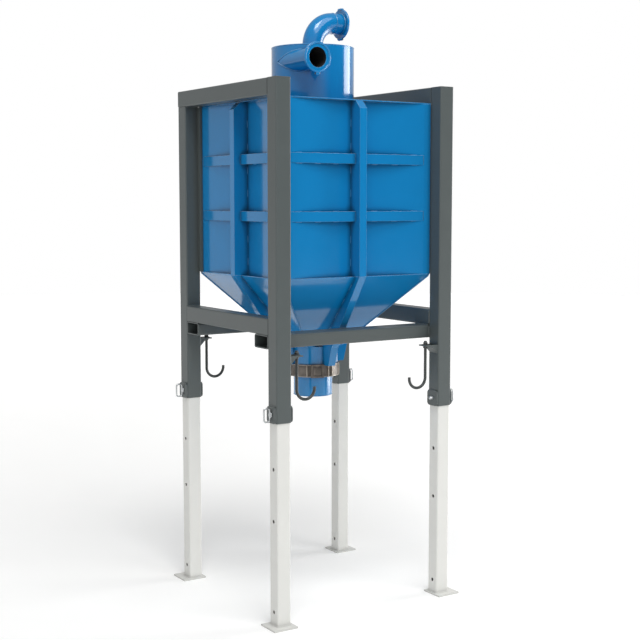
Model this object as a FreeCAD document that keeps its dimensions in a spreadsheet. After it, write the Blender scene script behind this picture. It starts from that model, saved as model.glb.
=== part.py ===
import FreeCAD, Part

import math
import os

import Sketcher

# Cyclone separator on a ribbed buffer hopper, carried by a four-post bulk-bag filling stand.
# Millimetres. +Z up, origin on the ground midway between the four feet. The front is -Y,
# so left is -X and right is +X. The tangential inlet faces the front and the outlet faces right.

doc = FreeCAD.newDocument("cyclone_separator")


# ---- Driving sizes -------------------------------------------------------------------------------

class Length:
    """A size that keeps its number and the sheet formula that gives it."""

    def __init__(self, value, text):
        self.value = float(value)
        self.text = text

    def __add__(self, other):
        other = length(other)
        return Length(self.value + other.value, f"({self.text} + {other.text})")

    def __sub__(self, other):
        other = length(other)
        return Length(self.value - other.value, f"({self.text} - {other.text})")

    def __mul__(self, other):
        other = length(other)
        return Length(self.value * other.value, f"({self.text} * {other.text})")

    def __truediv__(self, other):
        other = length(other)
        return Length(self.value / other.value, f"({self.text} / {other.text})")

    def __neg__(self):
        return Length(-self.value, f"(-1 * {self.text})")


def length(item):
    """Turn a plain number into a Length, and leave a Length as it is."""
    return item if isinstance(item, Length) else Length(item, repr(float(item)))


sheet = doc.addObject("Spreadsheet::Sheet", "sizes")
SIZES = (
    # stand
    ("frame_length", 1280),        # outside of the posts along X
    ("frame_width", 1240),         # outside of the posts along Y
    ("frame_height", 3210),        # top of the front posts above the ground
    ("post_size", 100),
    ("post_wall", 4),
    ("post_drop", 506),            # lower end of the posts below the lower side beams
    ("leg_gap", 1),                # between the leg and the inside of the post, each side
    ("leg_wall", 4),
    ("leg_overlap", 300),          # length of leg inside the post
    ("foot_size", 160),
    ("foot_thickness", 10),
    ("foot_offset", 16),           # foot centre outward of the leg centre, along X and along Y
    ("beam_size", 100),
    ("beam_wall", 4),
    ("lower_beam_bottom", 1727),   # above the ground
    ("pocket_width", 155),         # fork pocket, outside, along Y
    ("pocket_height", 80),         # fork pocket, outside
    ("pocket_wall", 6),
    # height adjustment
    ("pin_radius", 10),
    ("pin_gap", 1),                # between pin and hole
    ("pin_overhang", 21),          # plain end beyond the inner doubler
    ("hole_upper", 945),           # the three free holes of each leg above the ground
    ("hole_middle", 635),
    ("hole_lower", 90),
    ("doubler_size", 98),          # the pin is at its middle, and its foot is level with the post's
    ("doubler_thickness", 10),
    ("doubler_corner", 22),
    ("head_radius", 17),
    ("head_thickness", 8),
    ("bow_radius", 40),
    ("bow_rod", 5),                # radius of the handle's rod
    # bag hooks
    ("bracket_width", 80),
    ("bracket_sheet", 8),
    ("bracket_drop", 91),          # from the fork pockets down to the bracket's underside at the post
    ("bracket_rise", 46),
    ("bracket_slope", 44),         # horizontal length of the sloping part
    ("bracket_seat", 42),          # horizontal length of the flat part
    ("hook_rod", 9),               # radius
    ("hook_reach", 66),            # shank centre from the post face
    ("hook_bend", 62),             # radius of the bend's centre line
    ("hook_drop", 223),            # from the bracket's underside at the post to the hook's lowest point
    ("hook_tip", 9),               # straight end beyond the bend
    ("nut_radius", 15),
    ("nut_height", 16),
    # hopper
    ("sheet_metal", 4),            # hopper, cyclone and spout plate
    ("hopper_rise", 225),          # lower edge of the hopper walls above the lower side beams
    ("roof_drop", 4),              # upper edge of the hopper walls below the underside of the top beams
    ("wall_margin", 50),           # flat strip of a wall beside each corner
    ("wall_fold", 54),             # how far a wall is folded in at its middle
    ("roof_thickness", 6),
    ("roof_opening", 200),         # radius of the hole under the cyclone
    ("rib_width", 50),
    ("rib_proud", 45),             # upright rib beyond the corner plane
    ("band_height", 60),
    ("band_lower", 333),           # underside of the lower and of the upper cross rib, above the
    ("band_upper", 678),           # lower edge of the walls
    ("flange_width", 62),          # ledge between the walls and the pyramid
    ("bar_width", 42),
    ("bar_thickness", 16),         # past the posts' round corners
    # pyramid, collar and spout
    ("neck_half_x", 128),
    ("neck_half_y", 134),
    ("neck_drop", 59),             # from the fork pockets down to the pyramid's neck
    ("rib_toe", 122),              # rib beyond the neck, horizontally
    ("fin_gap", 1),                # between the fins and the collar
    ("collar_radius", 160),
    ("collar_height", 195),
    ("collar_lip", 8),
    ("collar_opening", 120),       # radius of the hole in the collar's upper lip
    ("spout_radius", 125),
    ("spout_length", 127),         # spout below the collar
    ("clamp_rise", 5),             # strap above the collar's lower edge
    ("clamp_height", 74),
    ("clamp_thickness", 6),
    ("buckle_width", 82),
    ("buckle_height", 84),
    ("buckle_frame", 12),
    ("buckle_thickness", 10),
    ("buckle_turn", 23),           # degrees from the front towards the left
    # cyclone
    ("cyclone_radius", 260),
    ("cyclone_height", 353),       # from the roof to the top of the lid
    ("lid_thickness", 6),
    ("pipe_radius", 65),
    ("pipe_wall", 4),
    ("flange_radius", 92),
    ("flange_thickness", 12),
    ("inlet_reach", 365),          # inlet flange face from the cyclone axis
    ("inlet_drop", 100),           # inlet axis below the top of the lid
    ("outlet_reach", 217),         # outlet flange face from the cyclone axis
    ("outlet_rise", 165),          # outlet axis above the top of the lid
    ("elbow_radius", 145),
    ("finder_depth", 190),         # outlet pipe below the lid
)
SIZE = {}
for row, (name, value) in enumerate(SIZES, start=1):
    sheet.set(f"A{row}", name)
    sheet.set(f"B{row}", str(value))
    sheet.setAlias(f"B{row}", name)
    SIZE[name] = Length(value, f"sizes.{name}")
doc.recompute()


# ---- Small helpers -------------------------------------------------------------------------------

parts = []                                   # the sub-parts that are written out


def keep(item, label):
    """Name a sub-part and put it on the list of those that are written out."""
    item.Label = label
    parts.append(item)
    return item


def bind(item, **properties):
    """Tie properties to sizes; a double underscore stands for the dot of a nested property."""
    for name, size in properties.items():
        item.setExpression(name.replace("__", "."), length(size).text)
    return item


def place(item, x=0, y=0, z=0, axis=(0, 0, 1), turn=0):
    """Turn an object about an axis through its own origin, then move it by sizes."""
    item.Placement = FreeCAD.Placement(FreeCAD.Vector(), FreeCAD.Rotation(FreeCAD.Vector(*axis), turn))
    bind(item, Placement__Base__x=x, Placement__Base__y=y, Placement__Base__z=z)
    return item


def box(name, low, size):
    """A block from its lowest corner and its three edges."""
    item = doc.addObject("Part::Box", name)
    bind(item, Length=size[0], Width=size[1], Height=size[2])
    return place(item, *low)


def rod(name, radius, height, low=(0, 0, 0), axis=(0, 0, 1), turn=0):
    """A cylinder that starts at a point and runs along +Z, or along +Z turned."""
    item = doc.addObject("Part::Cylinder", name)
    bind(item, Radius=radius, Height=height)
    return place(item, *low, axis=axis, turn=turn)


def cut(name, base, tool):
    item = doc.addObject("Part::Cut", name)
    item.Base = base
    item.Tool = tool
    return item


def fuse(name, shapes):
    item = doc.addObject("Part::MultiFuse", name)
    item.Shapes = shapes
    return item


def group(name, members):
    """Several like solids that share one node."""
    item = doc.addObject("Part::Compound", name)
    item.Links = members
    return keep(item, name)


def new_body(label):
    body = doc.addObject("PartDesign::Body", label)
    return keep(body, label)


def new_sketch(body, name, plane, offset=0):
    """A sketch on one of the body's own origin planes, moved along the plane's normal."""
    sketch = body.newObject("Sketcher::SketchObject", name)
    support = [item for item in body.Origin.OriginFeatures if item.Role == plane][0]
    sketch.AttachmentSupport = (support, [""])
    sketch.MapMode = "FlatFace"
    bind(sketch, AttachmentOffset__Base__z=offset)
    return sketch


def hold(sketch, kind, index, point, size):
    """One dimension of a sketch, tied to its size."""
    number = sketch.addConstraint(Sketcher.Constraint(kind, index, point, size.value))
    sketch.setExpression(f"Constraints[{number}]", size.text)


def polygon(sketch, corners):
    """A closed outline of straight lines through corners given as sizes."""
    corners = [(length(x), length(y)) for x, y in corners]
    first = sketch.GeometryCount
    count = len(corners)
    points = [FreeCAD.Vector(x.value, y.value, 0) for x, y in corners]
    for index in range(count):
        sketch.addGeometry(Part.LineSegment(points[index], points[(index + 1) % count]), False)
    for index in range(count):
        follower = first + (index + 1) % count
        sketch.addConstraint(Sketcher.Constraint("Coincident", first + index, 2, follower, 1))
    for index, (x, y) in enumerate(corners):
        hold(sketch, "DistanceX", first + index, 1, x)
        hold(sketch, "DistanceY", first + index, 1, y)


def rectangle(sketch, half_x, half_y):
    polygon(sketch, [(-half_x, -half_y), (half_x, -half_y), (half_x, half_y), (-half_x, half_y)])


def circle(sketch, x, y, radius):
    x, y, radius = length(x), length(y), length(radius)
    centre = FreeCAD.Vector(x.value, y.value, 0)
    index = sketch.addGeometry(Part.Circle(centre, FreeCAD.Vector(0, 0, 1), radius.value), False)
    hold(sketch, "DistanceX", index, 3, x)
    hold(sketch, "DistanceY", index, 3, y)
    number = sketch.addConstraint(Sketcher.Constraint("Radius", index, radius.value))
    sketch.setExpression(f"Constraints[{number}]", radius.text)


def pad(body, sketch, size, symmetric=False, reverse=False):
    feature = body.newObject("PartDesign::Pad", sketch.Name + "_pad")
    feature.Profile = sketch
    feature.SideType = "Symmetric" if symmetric else "One side"
    feature.Reversed = reverse
    return bind(feature, Length=size)


def pocket(body, sketch, size):
    """Remove a sketch's outline, as deep as the size, half to each side of its plane."""
    feature = body.newObject("PartDesign::Pocket", sketch.Name + "_pocket")
    feature.Profile = sketch
    feature.SideType = "Symmetric"
    return bind(feature, Length=size)


def straight_edges(shape, axis):
    """Names and middles of the straight edges along an axis: 0, 1 and 2 stand for X, Y and Z."""
    return [(f"Edge{number}", edge.CenterOfMass) for number, edge in enumerate(shape.Edges, start=1)
            if edge.Curve.TypeId == "Part::GeomLine" and abs(edge.tangentAt(0)[axis]) > 0.9]


def fillet(body, name, base, edges, radius):
    feature = body.newObject("PartDesign::Fillet", name)
    feature.Base = (base, edges)
    return bind(feature, Radius=radius)


def round_tube(body, name, axis, half_1, half_2, wall):
    """Round the corners of a cold-formed tube: by two walls outside and by one wall inside."""
    border = math.hypot((half_1 - wall / 2).value, (half_2 - wall / 2).value)
    for side, radius in (("outside", wall * 2), ("inside", wall)):
        doc.recompute()
        base = body.Tip
        edges = []
        for edge, middle in straight_edges(base.Shape, axis):
            across = math.hypot(*[middle[other] for other in range(3) if other != axis])
            if (across > border) == (side == "outside"):
                edges.append(edge)
        fillet(body, f"{name}_{side}", base, edges, radius)


def revolve(body, sketch):
    """Turn a sketch of the XZ plane once round the Z axis."""
    feature = body.newObject("PartDesign::Revolution", sketch.Name + "_turn")
    feature.Profile = sketch
    feature.ReferenceAxis = (sketch, ["V_Axis"])
    feature.Angle = 360
    return feature


# ---- Places that several pieces share ------------------------------------------------------------

post = SIZE["post_size"]
post_x = (SIZE["frame_length"] - post) / 2                 # post centres
post_y = (SIZE["frame_width"] - post) / 2
inner_x = SIZE["frame_length"] / 2 - post                  # inner faces of the posts
inner_y = SIZE["frame_width"] / 2 - post
leg_size = post - SIZE["post_wall"] * 2 - SIZE["leg_gap"] * 2
pin_hole = SIZE["pin_radius"] + SIZE["pin_gap"]
post_bottom = SIZE["lower_beam_bottom"] - SIZE["post_drop"]
pin_height = post_bottom + SIZE["doubler_size"] / 2
beam_x = inner_x + SIZE["beam_size"] / 2                   # side beams are flush with the posts inside
pocket_bottom = SIZE["lower_beam_bottom"] - SIZE["pocket_height"]
bracket_root = pocket_bottom - SIZE["bracket_drop"]
seat_height = bracket_root + SIZE["bracket_rise"]
hopper_bottom = SIZE["lower_beam_bottom"] + SIZE["beam_size"] + SIZE["hopper_rise"]
hopper_top = SIZE["frame_height"] - SIZE["beam_size"] - SIZE["roof_drop"]
roof_top = hopper_top + SIZE["roof_thickness"]
cyclone_top = roof_top + SIZE["cyclone_height"]
neck_height = pocket_bottom - SIZE["neck_drop"]
collar_bottom = neck_height - SIZE["collar_height"]
clamp_bottom = collar_bottom + SIZE["clamp_rise"]
clamp_top = clamp_bottom + SIZE["clamp_height"]
plate = SIZE["sheet_metal"]

CORNERS = (                                                # name, side along X, side along Y
    ("front_left", -1, -1),
    ("front_right", 1, -1),
    ("rear_left", -1, 1),
    ("rear_right", 1, 1),
)
SIDES = (("left", -1), ("right", 1))
FACES = (                                                  # name, turn of the face, half width,
    ("front", 0, inner_x, inner_y),                        # distance of the face from the axis
    ("right", 90, inner_y, inner_x),
    ("rear", 180, inner_x, inner_y),
    ("left", 270, inner_y, inner_x),
)


def put_on_face(item, turn, distance):
    """Move a piece drawn for the front face (outward is -Y) onto the face that is turned."""
    direction = {0: (0, -1), 90: (1, 0), 180: (0, 1), 270: (-1, 0)}[turn]
    return place(item, distance * direction[0], distance * direction[1], 0, turn=turn)


# ---- Posts: square tubes with a closed top and a cross hole for the locking pin ------------------

def make_post(name, side_x, side_y):
    # the side beams run over the rear posts, so those end lower
    top = SIZE["frame_height"] - SIZE["beam_size"] if side_y > 0 else SIZE["frame_height"]
    body = new_body(f"post_{name}")
    ring = new_sketch(body, f"post_ring_{name}", "XY_Plane", post_bottom)
    rectangle(ring, post / 2, post / 2)
    rectangle(ring, post / 2 - SIZE["post_wall"], post / 2 - SIZE["post_wall"])
    pad(body, ring, top - post_bottom - SIZE["post_wall"])
    cap = new_sketch(body, f"post_cap_{name}", "XY_Plane", top - SIZE["post_wall"])
    rectangle(cap, post / 2, post / 2)
    pad(body, cap, SIZE["post_wall"])
    round_tube(body, f"post_corner_{name}", 2, post / 2, post / 2, SIZE["post_wall"])
    hole = new_sketch(body, f"post_hole_{name}", "YZ_Plane")
    circle(hole, 0, pin_height, pin_hole)
    pocket(body, hole, post * 2)
    place(body, post_x * side_x, post_y * side_y)


# ---- Legs: square tubes that slide in the posts, with a row of holes -----------------------------

def make_leg(name, side_x, side_y):
    body = new_body(f"leg_{name}")
    ring = new_sketch(body, f"leg_ring_{name}", "XY_Plane", SIZE["foot_thickness"])
    rectangle(ring, leg_size / 2, leg_size / 2)
    rectangle(ring, leg_size / 2 - SIZE["leg_wall"], leg_size / 2 - SIZE["leg_wall"])
    pad(body, ring, post_bottom + SIZE["leg_overlap"] - SIZE["foot_thickness"])
    round_tube(body, f"leg_corner_{name}", 2, leg_size / 2, leg_size / 2, SIZE["leg_wall"])
    holes = new_sketch(body, f"leg_holes_{name}", "YZ_Plane")
    for level in (pin_height, SIZE["hole_upper"], SIZE["hole_middle"], SIZE["hole_lower"]):
        circle(holes, 0, level, pin_hole)
    pocket(body, holes, post * 2)
    place(body, post_x * side_x, post_y * side_y)


def make_foot(name, side_x, side_y):
    foot = SIZE["foot_size"]
    centre_x = (post_x + SIZE["foot_offset"]) * side_x
    centre_y = (post_y + SIZE["foot_offset"]) * side_y
    low = (centre_x - foot / 2, centre_y - foot / 2, 0)
    return box(f"foot_plate_{name}", low, (foot, foot, SIZE["foot_thickness"]))


# ---- Doubler plates: rounded plates round the pin hole on the two X faces of each post -----------

def make_doubler(name, side_x, side_y, face):
    body = doc.addObject("PartDesign::Body", f"doubler_{name}")
    half = SIZE["doubler_size"] / 2
    outline = new_sketch(body, f"doubler_outline_{name}", "YZ_Plane")
    polygon(outline, [(-half, pin_height - half), (half, pin_height - half),
                      (half, pin_height + half), (-half, pin_height + half)])
    circle(outline, 0, pin_height, pin_hole)
    blank = pad(body, outline, SIZE["doubler_thickness"])
    doc.recompute()
    edges = [edge for edge, middle in straight_edges(blank.Shape, 0)]
    fillet(body, f"doubler_round_{name}", blank, edges, SIZE["doubler_corner"])
    start = post / 2 if face > 0 else -post / 2 - SIZE["doubler_thickness"]
    place(body, post_x * side_x + start, post_y * side_y)
    return body


# ---- Locking pins: a shaft through post and leg, with a head and a bow handle outside ------------

def make_pin(name, side_x, side_y):
    outer = post / 2 + SIZE["doubler_thickness"]
    tail = outer + SIZE["pin_overhang"]
    head_end = outer + SIZE["head_thickness"]
    bow, bow_rod, level = SIZE["bow_radius"], SIZE["bow_rod"], pin_height
    # drawn with the handle towards +X of the pin's own frame
    shaft = rod(f"pin_shaft_{name}", SIZE["pin_radius"], tail + head_end, (-tail, 0, level), (0, 1, 0), 90)
    head = rod(f"pin_head_{name}", SIZE["head_radius"], SIZE["head_thickness"], (outer, 0, level),
               (0, 1, 0), 90)
    # the handle's bar is let into the head by half its thickness
    bar_x = head_end
    bar = rod(f"pin_bar_{name}", bow_rod, bow * 2, (bar_x, 0, level - bow))
    arc = doc.addObject("Part::Torus", f"pin_bow_{name}")
    bind(arc, Radius1=bow, Radius2=bow_rod)
    arc.Angle3 = 180
    # the half ring is made round +Z from +X to -X; this stands it in the XZ plane, bulging to +X
    place(arc, bar_x, 0, level, axis=(1, 1, 1), turn=240)
    pin = keep(fuse(f"locking_pin_{name}", [shaft, head, bar, arc]), f"locking_pin_{name}")
    place(pin, post_x * side_x, post_y * side_y, 0, turn=0 if side_x > 0 else 180)


# ---- Side beams and fork pockets -----------------------------------------------------------------

def make_top_beam(name, side_x):
    # from the back of the front post, over the rear post, closed at the rear end
    beam, wall = SIZE["beam_size"], SIZE["beam_wall"]
    run = SIZE["frame_width"] - post
    body = new_body(f"top_beam_{name}")
    ring = new_sketch(body, f"top_ring_{name}", "XZ_Plane")
    rectangle(ring, beam / 2, beam / 2)
    rectangle(ring, beam / 2 - wall, beam / 2 - wall)
    pad(body, ring, run - wall, reverse=True)
    cap = new_sketch(body, f"top_cap_{name}", "XZ_Plane", -(run - wall))
    rectangle(cap, beam / 2, beam / 2)
    pad(body, cap, wall, reverse=True)
    round_tube(body, f"top_corner_{name}", 1, beam / 2, beam / 2, wall)
    place(body, beam_x * side_x, -inner_y, SIZE["frame_height"] - beam / 2)


def make_lower_beam(name, side_x):
    beam, wall = SIZE["beam_size"], SIZE["beam_wall"]
    body = new_body(f"lower_beam_{name}")
    ring = new_sketch(body, f"lower_ring_{name}", "XZ_Plane")
    rectangle(ring, beam / 2, beam / 2)
    rectangle(ring, beam / 2 - wall, beam / 2 - wall)
    pad(body, ring, inner_y * 2, symmetric=True)
    round_tube(body, f"lower_corner_{name}", 1, beam / 2, beam / 2, wall)
    place(body, beam_x * side_x, 0, SIZE["lower_beam_bottom"] + beam / 2)


def make_fork_pocket(name, side_y):
    wide, high, wall = SIZE["pocket_width"], SIZE["pocket_height"], SIZE["pocket_wall"]
    body = new_body(f"fork_pocket_{name}")
    ring = new_sketch(body, f"pocket_ring_{name}", "YZ_Plane")
    rectangle(ring, wide / 2, high / 2)
    rectangle(ring, wide / 2 - wall, high / 2 - wall)
    pad(body, ring, SIZE["frame_length"], symmetric=True)
    round_tube(body, f"pocket_corner_{name}", 0, wide / 2, high / 2, wall)
    place(body, 0, (inner_y - wide / 2) * side_y, pocket_bottom + high / 2)


# ---- Bag hooks: a bent bracket with two cheeks on the post, and a J hook with a nut --------------
# Both are drawn with the post's inner face at X = 0 and the middle of the stand towards +X.

def put_on_post(item, side_x, side_y):
    place(item, inner_x * side_x, post_y * side_y, 0, turn=180 if side_x > 0 else 0)


def make_hook_bracket(name, side_x, side_y):
    body = doc.addObject("PartDesign::Body", f"hook_bracket_{name}")
    root, thick = bracket_root, SIZE["bracket_sheet"]
    slope = SIZE["bracket_slope"]
    reach = slope + SIZE["bracket_seat"]
    profile = new_sketch(body, f"bracket_profile_{name}", "XZ_Plane")
    polygon(profile, [(0, root), (slope, seat_height), (reach, seat_height),
                      (reach, seat_height + thick), (slope, seat_height + thick), (0, root + thick)])
    pad(body, profile, SIZE["bracket_width"], symmetric=True)
    for index, side in enumerate((-1, 1)):
        offset = (SIZE["bracket_width"] - thick) / 2 * side - thick / 2
        cheek = new_sketch(body, f"bracket_cheek_{name}_{index}", "XZ_Plane", offset)
        polygon(cheek, [(0, root + thick / 2), (slope, seat_height + thick / 2),
                        (slope, seat_height + thick), (0, seat_height + thick)])
        pad(body, cheek, thick)
    hole = new_sketch(body, f"bracket_hole_{name}", "XY_Plane", seat_height)
    circle(hole, SIZE["hook_reach"], 0, SIZE["hook_rod"])
    pocket(body, hole, thick * 4)
    put_on_post(body, side_x, side_y)
    return body


def make_hook(name, side_x, side_y):
    body = new_body(f"hook_{name}")
    reach, bend, thick = SIZE["hook_reach"], SIZE["hook_bend"], SIZE["hook_rod"]
    nut_low = seat_height + SIZE["bracket_sheet"]
    top = nut_low + SIZE["nut_height"] + thick
    centre = bracket_root - SIZE["hook_drop"] + thick + bend
    path = new_sketch(body, f"hook_path_{name}", "XZ_Plane")
    near, far = reach.value, (reach + bend * 2).value
    middle = FreeCAD.Vector((reach + bend).value, centre.value, 0)
    path.addGeometry(Part.LineSegment(FreeCAD.Vector(near, top.value, 0),
                                      FreeCAD.Vector(near, centre.value, 0)), False)
    half_turn = Part.Circle(middle, FreeCAD.Vector(0, 0, 1), bend.value)
    path.addGeometry(Part.ArcOfCircle(half_turn, math.pi, math.pi * 2), False)
    path.addGeometry(Part.LineSegment(FreeCAD.Vector(far, centre.value, 0),
                                      FreeCAD.Vector(far, (centre + SIZE["hook_tip"]).value, 0)), False)
    path.addConstraint(Sketcher.Constraint("Coincident", 0, 2, 1, 1))
    path.addConstraint(Sketcher.Constraint("Coincident", 1, 2, 2, 1))
    hold(path, "DistanceX", 0, 1, reach)
    hold(path, "DistanceY", 0, 1, top)
    hold(path, "DistanceX", 0, 2, reach)
    hold(path, "DistanceY", 0, 2, centre)
    hold(path, "DistanceX", 1, 3, reach + bend)
    hold(path, "DistanceY", 1, 3, centre)
    hold(path, "DistanceY", 1, 2, centre)
    hold(path, "DistanceX", 2, 2, reach + bend * 2)
    hold(path, "DistanceY", 2, 2, centre + SIZE["hook_tip"])
    section = new_sketch(body, f"hook_section_{name}", "XY_Plane", top)
    circle(section, reach, 0, thick)
    sweep = body.newObject("PartDesign::AdditivePipe", f"hook_sweep_{name}")
    sweep.Profile = section
    sweep.Spine = (path, ["Edge1", "Edge2", "Edge3"])
    nut = new_sketch(body, f"hook_nut_{name}", "XY_Plane", nut_low)
    across = SIZE["nut_radius"]
    side = across * math.sin(math.radians(60))
    polygon(nut, [(reach + across, 0), (reach + across / 2, side), (reach - across / 2, side),
                  (reach - across, 0), (reach - across / 2, -side), (reach + across / 2, -side)])
    pad(body, nut, SIZE["nut_height"])
    put_on_post(body, side_x, side_y)


# ---- Hopper walls: sheets folded in at the middle ------------------------------------------------
# Walls and ribs are drawn for the front face: outward is -Y, and Y = 0 is the plane through the corners.

def wall_half(turn, half):
    """Front and rear walls run to the corners; the side walls stand between them."""
    return half if turn in (0, 180) else half - plate


def make_hopper_wall(name, turn, half, distance):
    half = wall_half(turn, half)
    bend = half - SIZE["wall_margin"]
    body = new_body(f"hopper_wall_{name}")
    plan = new_sketch(body, f"wall_plan_{name}", "XY_Plane", hopper_bottom)
    outside = [(-half, 0), (-bend, 0), (0, SIZE["wall_fold"]), (bend, 0), (half, 0)]
    inside = [(x, length(y) + plate) for x, y in reversed(outside)]
    polygon(plan, outside + inside)
    pad(body, plan, hopper_top - hopper_bottom)
    put_on_face(body, turn, distance)


def make_wall_ribs(name, turn, half, distance):
    """An upright rib and two cross ribs, all hollow and open towards the wall."""
    half = wall_half(turn, half)
    bend = half - SIZE["wall_margin"]
    fold, wide, proud = SIZE["wall_fold"], SIZE["rib_width"], SIZE["rib_proud"]
    low, top = hopper_bottom, hopper_top
    body = new_body(f"wall_ribs_{name}")
    for level in ("band_lower", "band_upper"):
        outline = new_sketch(body, f"{level}_{name}", "XY_Plane", low + SIZE[level])
        polygon(outline, [(-bend, 0), (bend, 0), (0, fold)])
        pad(body, outline, SIZE["band_height"])
    # the upright rib meets the folded wall at its own two edges
    depth = fold - fold * (wide / 2) / bend
    upright = new_sketch(body, f"upright_{name}", "YZ_Plane")
    polygon(upright, [(-proud, low), (depth, low), (depth, top), (0, top), (-proud, top - proud)])
    pad(body, upright, wide, symmetric=True)
    hollow = new_sketch(body, f"upright_hollow_{name}", "YZ_Plane")
    polygon(hollow, [(-proud + plate, low + plate), (depth * 2, low + plate), (depth * 2, top - plate),
                     (0, top - plate), (-proud + plate, top - proud - plate)])
    pocket(body, hollow, wide - plate * 2)
    put_on_face(body, turn, distance)


def make_pyramid_rib(name, turn, half, distance):
    """A fin from the foot of the upright rib down the pyramid to the collar."""
    neck = SIZE["neck_half_y"] if turn in (0, 180) else SIZE["neck_half_x"]
    proud, toe = SIZE["rib_proud"], SIZE["rib_toe"]
    ledge, low = hopper_bottom, clamp_top
    top = ledge - plate
    neck_y = distance - neck                              # face of the pyramid at its neck
    collar_y = distance - SIZE["collar_radius"] - SIZE["fin_gap"]
    body = doc.addObject("PartDesign::Body", f"pyramid_rib_{name}")
    side = new_sketch(body, f"fin_{name}", "YZ_Plane")
    polygon(side, [(-proud, ledge), (0, ledge), (0, top), (neck_y, neck_height),
                   (collar_y, neck_height), (collar_y, low), (collar_y - toe / 2, low),
                   (neck_y - toe, neck_height)])
    pad(body, side, SIZE["rib_width"], symmetric=True)
    # hollow, and open towards the pyramid and the collar
    skin = plate * 1.25                                   # the sloping plate, measured level
    hollow = new_sketch(body, f"fin_hollow_{name}", "YZ_Plane")
    polygon(hollow, [(-proud + skin, top), (distance, top), (distance, low + plate),
                     (collar_y - toe / 2 + skin, low + plate), (neck_y - toe + skin, neck_height)])
    pocket(body, hollow, SIZE["rib_width"] - plate * 2)
    put_on_face(body, turn, distance)
    return body


# ---- Mounting bars: flat bars that tie the side walls to the posts -------------------------------

def make_mounting_bar(name, side_x, side_y):
    wide, thick = SIZE["bar_width"], SIZE["bar_thickness"]
    low_x = inner_x if side_x > 0 else -inner_x - thick
    low_y = inner_y - wide if side_y > 0 else -inner_y
    size = (thick, wide, hopper_top - hopper_bottom)
    return box(f"mounting_bar_{name}", (low_x, low_y, hopper_bottom), size)


# ---- Roof and pyramid ----------------------------------------------------------------------------

def make_roof():
    thick = SIZE["roof_thickness"]
    blank = box("roof_blank", (-inner_x, -inner_y, hopper_top), (inner_x * 2, inner_y * 2, thick))
    opening = rod("roof_hole", SIZE["roof_opening"], thick * 3, (0, 0, hopper_top - thick))
    keep(cut("hopper_roof", blank, opening), "hopper_roof")


def frustum(name, low, neck_x, neck_y, high, top_x, top_y):
    """A block with a rectangle below and a larger one above, both centred on the axis."""
    item = doc.addObject("Part::Wedge", name)
    bind(item, Ymin=low, Ymax=high, Xmin=-neck_x, Xmax=neck_x, Zmin=-neck_y, Zmax=neck_y,
         X2min=-top_x, X2max=top_x, Z2min=-top_y, Z2max=top_y)
    return place(item, axis=(1, 0, 0), turn=90)


def make_pyramid():
    low, top = neck_height, hopper_bottom - plate
    neck_x, neck_y, ledge = SIZE["neck_half_x"], SIZE["neck_half_y"], SIZE["flange_width"]
    skin = plate * 1.25                                   # the sloping plate, measured level
    outside = frustum("pyramid_outside", low, neck_x, neck_y, top, inner_x, inner_y)
    rim = box("pyramid_rim", (-inner_x, -inner_y, top), (inner_x * 2, inner_y * 2, plate))
    inside = frustum("pyramid_inside", low, neck_x - skin, neck_y - skin, top,
                     inner_x - skin, inner_y - skin)
    mouth = box("pyramid_mouth", (-inner_x + ledge, -inner_y + ledge, top),
                ((inner_x - ledge) * 2, (inner_y - ledge) * 2, plate))
    blank = fuse("pyramid_blank", [outside, rim])
    hollow = fuse("pyramid_hollow", [inside, mouth])
    keep(cut("hopper_pyramid", blank, hollow), "hopper_pyramid")


# ---- Collar, spout and clamp ---------------------------------------------------------------------

def make_collar():
    radius, low, top = SIZE["collar_radius"], collar_bottom, neck_height
    lip, opening = SIZE["collar_lip"], SIZE["collar_opening"]
    inner, mouth = radius - plate, SIZE["spout_radius"] - plate
    body = new_body("spout_collar")
    profile = new_sketch(body, "collar_profile", "XZ_Plane")
    polygon(profile, [(mouth, low), (radius, low), (radius, top), (opening, top),
                      (opening, top - lip), (inner, top - lip), (inner, low + lip), (mouth, low + lip)])
    revolve(body, profile)


def ring(label, inner, outer, low, high):
    """A round sleeve about the Z axis."""
    body = new_body(label)
    profile = new_sketch(body, f"{label}_profile", "XZ_Plane")
    polygon(profile, [(inner, low), (outer, low), (outer, high), (inner, high)])
    revolve(body, profile)
    return body


def make_buckle():
    """Two windows in a flat frame, drawn for the front and turned round the axis with the strap."""
    wide, high, frame = SIZE["buckle_width"], SIZE["buckle_height"], SIZE["buckle_frame"]
    radius = SIZE["collar_radius"] + SIZE["clamp_thickness"]
    body = new_body("clamp_buckle")
    face = new_sketch(body, "buckle_face", "XZ_Plane", radius)
    low = clamp_bottom + SIZE["clamp_height"] / 2 - high / 2
    polygon(face, [(-wide / 2, low), (wide / 2, low), (wide / 2, low + high), (-wide / 2, low + high)])
    for side in (-1, 1):
        near, far = frame / 2 * side, (wide / 2 - frame) * side
        polygon(face, [(near, low + frame), (far, low + frame),
                       (far, low + high - frame), (near, low + high - frame)])
    pad(body, face, SIZE["buckle_thickness"])
    place(body, axis=(0, 0, -1), turn=SIZE["buckle_turn"].value)
    bind(body, Placement__Rotation__Angle=SIZE["buckle_turn"])


# ---- Cyclone -------------------------------------------------------------------------------------

pipe = SIZE["pipe_radius"]
bore = SIZE["pipe_radius"] - SIZE["pipe_wall"]
inlet_x = SIZE["cyclone_radius"] - pipe                   # the inlet is flush with the shell's left side
TO_FRONT = ((1, 0, 0), 90)                                # turns +Z to -Y


def inlet_rod(name, radius, start, end):
    """A cylinder on the inlet's axis, between two distances in front of the cyclone axis."""
    low = (-inlet_x, -length(start), cyclone_top - SIZE["inlet_drop"])
    return rod(name, radius, length(end) - start, low, *TO_FRONT)


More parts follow.
